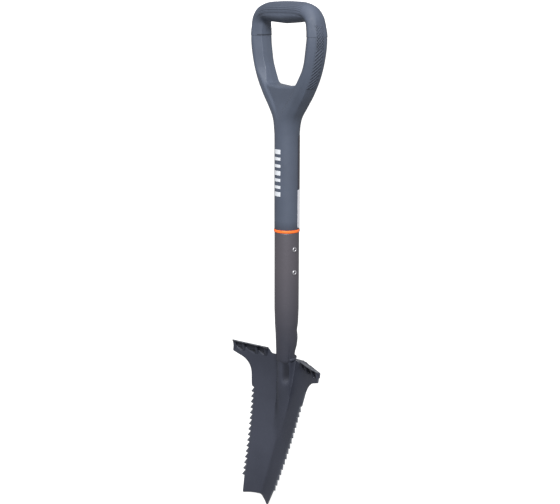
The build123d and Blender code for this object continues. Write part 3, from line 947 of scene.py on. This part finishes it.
def pad_shell(side):
    """Soft pad on a leg's outer side: diamonds above, slanted bars below, sunk at its rounded border.
    The second value is the painted shade of each point, from how deep in a crease it lies."""
    outer = handle_paths()[0]
    low, high = PAD_SPAN
    strip = resample(outer[(outer[:, 1] > low) & (outer[:, 1] < high) & (outer[:, 0] > 30)], 0.42)
    tangent = unit(np.gradient(strip, axis=0))
    outward = np.stack([tangent[:, 1], -tangent[:, 0]], 1)
    run = np.cumsum(np.linalg.norm(np.diff(strip, axis=0, prepend=strip[:1]), axis=1))[:, None]
    middle, half = PAD_MIDDLE, PAD_HALF_WIDTH
    y = np.linspace(middle - half, middle + half, 35)[None]
    a, b = (run + y) * math.pi / DIAMOND_PITCH, (run - y) * math.pi / DIAMOND_PITCH
    diamonds = (np.sin(a) * np.sin(b)) ** 2
    bars = 0.5 + 0.5 * np.cos((run - 0.9 * y) * 2 * math.pi / BAR_PITCH)
    split = ramp(strip[:, 1:] + 0 * y, 636, 640)
    pattern = mix(bars ** 0.7, diamonds ** 0.6, split)
    long = run[-1]
    inside = np.minimum(np.minimum(run, long - run) / 2.2, (half - np.abs(y - middle)) / 1.0)
    border = ramp(inside, 0, 1)
    lift = mix(-0.5, 0.25 + chosen().pad_relief * pattern * ramp(inside, 0.8, 1.6), border)
    out = lift - np.where(y < -8.0, 0.57 - (y + 8.0) / 0.8, np.abs(y) / 14.0)
    plane = strip[:, None] + outward[:, None] * out[..., None]
    face = np.stack([plane[..., 0], y + 0 * run, plane[..., 1]], -1)
    deep = strip[:, None] - outward[:, None] * (1.3 + 0 * out[..., None])
    bottom = np.stack([deep[..., 0], y + 0 * run, deep[..., 1]], -1)
    loop = fanned(np.concatenate([face, bottom[:, ::-1]], 1))
    loop[..., 0] *= side
    crease_shade = np.zeros(loop.shape[:2])
    # Painted shade in the hollows of the pad's pattern.
    crease_shade[1:-1, :y.shape[1]] = 0.6 * (1 - pattern) * border
    return round_shell(loop), crease_shade


def film_shell(low, high, start, stop, thickness, corner=0.8):
    """A thin film wrapped on the stem: rows up, columns round, with corners drawn in along an arc."""
    rows = max(6, int((high - low) / 3))
    share = np.concatenate([[0, 0.02, 0.06], np.linspace(0.1, 0.9, rows), [0.94, 0.98, 1]])[:, None]
    z = mix(low, high, share)
    from_end = np.minimum(z - low, high - z)
    drawn = corner - np.sqrt(np.clip(corner ** 2 - (corner - np.clip(from_end, 0, corner)) ** 2, 0, None))
    pulled = np.degrees(drawn / STEM_RADIUS)
    columns = max(8, int((stop - start) / 4))
    around = np.linspace(0, 1, columns)[None]
    angle = np.radians(mix(start + pulled, stop - pulled, around) - 90)
    outer, inner = STEM_RADIUS + thickness, STEM_RADIUS - 0.15
    face, under = round_axis(outer, angle, z), round_axis(inner, angle, z)
    return round_shell(fanned(np.concatenate([face, under[:, ::-1]], 1)))


# ---------------------------------------------------------------- operators


class BuildBlade(bpy.types.Operator):
    """Serrated blade with its ridge, steps and ribs"""

    bl_idname = "shovel.blade"
    bl_label = "Blade"

    def execute(self, context):
        parts, values = blade_parts()
        coat = blade_coat(context.scene.shovel_colours)
        put("blade_plate", parts, coat, ("blade",), 32.0, values)
        return {"FINISHED"}


class BuildShaft(bpy.types.Operator):
    """Socket tube, welds, collar ring and rivets"""

    bl_idname = "shovel.shaft"
    bl_label = "Shaft"

    def execute(self, context):
        colours = context.scene.shovel_colours
        put("socket_tube", [tube_shell()], tube_coat(colours), ("shaft_tube",), 50.0)
        bead_coat = blade_coat(colours)
        beads = {"weld_left": (150, 50), "weld_right": (-20, 50), "weld_back": (66, 48)}
        for name, (start, sweep) in beads.items():
            put(name + "_bead", [weld_shell(start, sweep)], bead_coat, (name,), 60.0)
        orange = moulded("orange collar", tuple(colours.ring), 0.42, 1500.0, 0.12)
        put("orange_collar", [lathe(ring_profile(), 96)], orange, ("collar_ring",))
        steel = bright_steel()
        profile = rivet_profile()
        # Marks the rivet's hollow centre for painted shade.
        hollow = np.array(profile[:, 0] < 1.45, float)[:, None] + np.zeros((1, 36))
        for name in ("rivet_upper", "rivet_lower"):
            shell = lathe(profile, 36, "x", sum(height_span(name)) / 2)
            put(name + "_head", [shell], steel, (name,), 60.0, {"hollow": hollow})
        return {"FINISHED"}


class BuildHandle(bpy.types.Operator):
    """Rigid D handle and stem"""

    bl_idname = "shovel.handle"
    bl_label = "Handle"

    def execute(self, context):
        plastic = moulded("moulded handle", tuple(context.scene.shovel_colours.handle), 0.46, 1700.0, 0.2)
        put("d_handle", handle_shells(), plastic, ("handle_frame",), 50.0)
        return {"FINISHED"}


class BuildGrips(bpy.types.Operator):
    """Soft sleeve on the bar and textured pads on the legs"""

    bl_idname = "shovel.grips"
    bl_label = "Soft grips"

    def execute(self, context):
        rubber = moulded("grip rubber", tuple(context.scene.shovel_colours.grip), 0.6, 1100.0, 0.3, True)
        shells, crease_shade = sleeve_shells()
        values = {"crease_shade": crease_shade}
        sleeve = put("soft_sleeve", shells, rubber, ("grip_sleeve",), 50.0, values)
        wall = sleeve.modifiers.new("wall", "SOLIDIFY")
        wall.thickness = 0.6 * MILLIMETRE
        wall.offset = -1.0
        for name, side in (("pad_left", -1), ("pad_right", 1)):
            shell, crease_shade = pad_shell(side)
            put(name + "_soft", [shell], rubber, (name,), 60.0, {"crease_shade": crease_shade})
        return {"FINISHED"}


class BuildLabels(bpy.types.Operator):
    """Wrapped labels and plain printed blocks on the stem"""

    bl_idname = "shovel.labels"
    bl_label = "Labels and print"

    def execute(self, context):
        looks = {"label_upper": ("dark label", srgb(52, 50, 60), 0.4, "label_dark"),
                 "label_lower": ("white label", srgb(222, 222, 228), 0.45, "label_white")}
        for name, (title, colour, roughness, slot) in looks.items():
            low, high = height_span(name)
            shell = film_shell(low, high, *LABEL_TURN, 0.3, 1.5)
            put(name + "_film", [shell], printed(title, colour, roughness), (name,), 50.0)
        low, high = height_span("print_marks")
        pitch = (high - low - 6.2) / (MARK_COUNT - 1)
        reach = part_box("print_marks")[1].x / MILLIMETRE
        half_turn = math.degrees(math.asin(reach / STEM_RADIUS)) - 0.5
        marks = []
        for index in range(MARK_COUNT):
            middle = low + 3.1 + index * pitch
            half = 2.1 if index % 3 else 3.1
            marks.append(film_shell(middle - half, middle + half, -half_turn, half_turn, 0.22, 0.7))
        ink = printed("white ink", srgb(206, 210, 216), 0.5)
        put("printed_blocks", marks, ink, ("print_marks",), 50.0)
        return {"FINISHED"}


class FinishFrame(bpy.types.Operator):
    """Finishes for the inner tube and its plugs, which keep their frame shapes"""

    bl_idname = "shovel.frame"
    bl_label = "Inner parts"

    def execute(self, context):
        plug = moulded("plug plastic", srgb(40, 41, 45), 0.5, 1400.0, 0.2)
        looks = {"core_tube": aluminium(), "core_plug_top": plug, "core_plug_bottom": plug}
        for name, material in looks.items():
            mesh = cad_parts[name].data
            mesh.materials.clear()
            mesh.materials.append(material)
        return {"FINISHED"}


class BuildStage(bpy.types.Operator):
    """Pale floor and backdrop, soft lights and the camera"""

    bl_idname = "shovel.stage"
    bl_label = "Stage"

    def execute(self, context):
        mesh = bpy.data.meshes.new("floor")
        reach, level = STAGE_REACH, FOOT - 0.0005
        corners = [(x * reach, y * reach, level) for x, y in ((-1, -1), (1, -1), (1, 1), (-1, 1))]
        mesh.from_pydata(corners, [], [(0, 1, 2, 3)])
        floor = linked("floor", mesh)
        pale = Finish("pale floor", 0.9, specular=0.1)
        tone = pale.blend(pale.noise(3.0), (0.24, 0.24, 0.24), (0.26, 0.26, 0.26))
        pale.glow(0.95)
        mesh.materials.append(pale.done(tone))
        floor.visible_diffuse = False
        floor.visible_glossy = False
        self.backdrop()
        self.lights(context)
        self.camera(context)
        return {"FINISHED"}

    def backdrop(self):
        """A distant white ball round the stage, which neither lights nor shades anything."""
        turn = np.linspace(-math.pi / 2, math.pi / 2, 33)
        profile = (STAGE_REACH - 2.0) * np.stack([np.cos(turn), np.sin(turn)], 1)
        points, faces = lathe(profile, 64)
        mesh = bpy.data.meshes.new("backdrop")
        mesh.from_pydata(points.reshape(-1, 3).tolist(), [], faces.tolist())
        ball = linked("backdrop", mesh)
        white = Finish("white backdrop", 1.0, specular=0.0)
        white.glow(1.0)
        tone = white.blend(white.noise(0.2), srgb(252, 252, 252), srgb(255, 255, 255))
        mesh.materials.append(white.done(tone))
        for ray in ("diffuse", "glossy", "transmission", "shadow", "volume_scatter"):
            setattr(ball, "visible_" + ray, False)

    def lights(self, context):
        """Soft boxes round the object and a pale surround."""
        world = bpy.data.worlds.new("studio")
        context.scene.world = world
        world.use_nodes = True
        sky = world.node_tree.nodes["Background"]
        sky.inputs[0].default_value = (1.0, 1.0, 1.0, 1.0)
        sky.inputs[1].default_value = 0.42
        aim = Vector((0.0, 0.0, FOOT / 2))
        boxes = (("key", (1.42, -1.3, 1.2), 0.9, 80.0), ("edge", (1.6, 1.2, 0.3), 0.8, 3.0))
        for name, place, size, power in boxes:
            lamp = bpy.data.lights.new(name, "AREA")
            lamp.size = size
            lamp.energy = power
            self.hang(name, lamp, place, aim)
        daylight = bpy.data.lights.new("top", "SUN")
        daylight.angle = math.radians(50)
        daylight.energy = 1.5
        self.hang("top", daylight, (0.3, -0.7, 2.0), aim)
        context.scene.view_settings.view_transform = "Standard"

    def hang(self, name, lamp, place, aim):
        """Puts a lamp in place, turned to the object."""
        light = linked(name, lamp)
        light.location = place
        light.rotation_euler = (aim - Vector(place)).to_track_quat("-Z", "Y").to_euler()

    def camera(self, context):
        """Three-quarter view from a little above."""
        azimuth, pitch = math.radians(CAMERA_AZIMUTH), math.radians(CAMERA_PITCH)
        aim = Vector((-0.00585, -0.00745, FOOT + 0.3553))
        back = Vector((math.sin(azimuth) * math.cos(pitch), -math.cos(azimuth) * math.cos(pitch),
                       math.sin(pitch)))
        lens = bpy.data.cameras.new("camera")
        lens.lens = 75.27
        lens.sensor_width = 36.0
        lens.sensor_fit = "HORIZONTAL"
        lens.clip_start = 0.05
        camera = linked("camera", lens)
        camera.location = aim + back * CAMERA_DISTANCE
        lean = Quaternion((0, 0, 1), math.radians(0.1))
        camera.rotation_euler = ((-back).to_track_quat("-Z", "Y") @ lean).to_euler()
        context.scene.camera = camera


class ShovelPanel(bpy.types.Panel):
    """Lists the shovel's pieces in the 3D view's sidebar"""

    bl_idname = "VIEW3D_PT_shovel"
    bl_label = "Shovel"
    bl_space_type = "VIEW_3D"
    bl_region_type = "UI"
    bl_category = "Shovel"

    def draw(self, context):
        for group in (context.scene.shovel_sizes, context.scene.shovel_colours):
            for name in group.bl_rna.properties.keys():
                if name not in ("rna_type", "name"):
                    self.layout.prop(group, name)
        for operator in OPERATORS:
            self.layout.operator(operator.bl_idname)


OPERATORS = (BuildBlade, BuildShaft, BuildHandle, BuildGrips, BuildLabels, FinishFrame, BuildStage)
GROUPS = {"shovel_sizes": ShovelSizes, "shovel_colours": ShovelColours}


def register():
    for made in (*GROUPS.values(), *OPERATORS, ShovelPanel):
        bpy.utils.register_class(made)
    for name, group in GROUPS.items():
        setattr(bpy.types.Scene, name, bpy.props.PointerProperty(type=group))


def unregister():
    for name in GROUPS:
        delattr(bpy.types.Scene, name)
    for made in (ShovelPanel, *reversed(OPERATORS), *GROUPS.values()):
        bpy.utils.unregister_class(made)


def main():
    """Builds every piece in order."""
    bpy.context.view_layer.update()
    register()
    for operator in OPERATORS:
        group, name = operator.bl_idname.split(".")
        getattr(getattr(bpy.ops, group), name)()


if __name__ == "__main__":
    main()
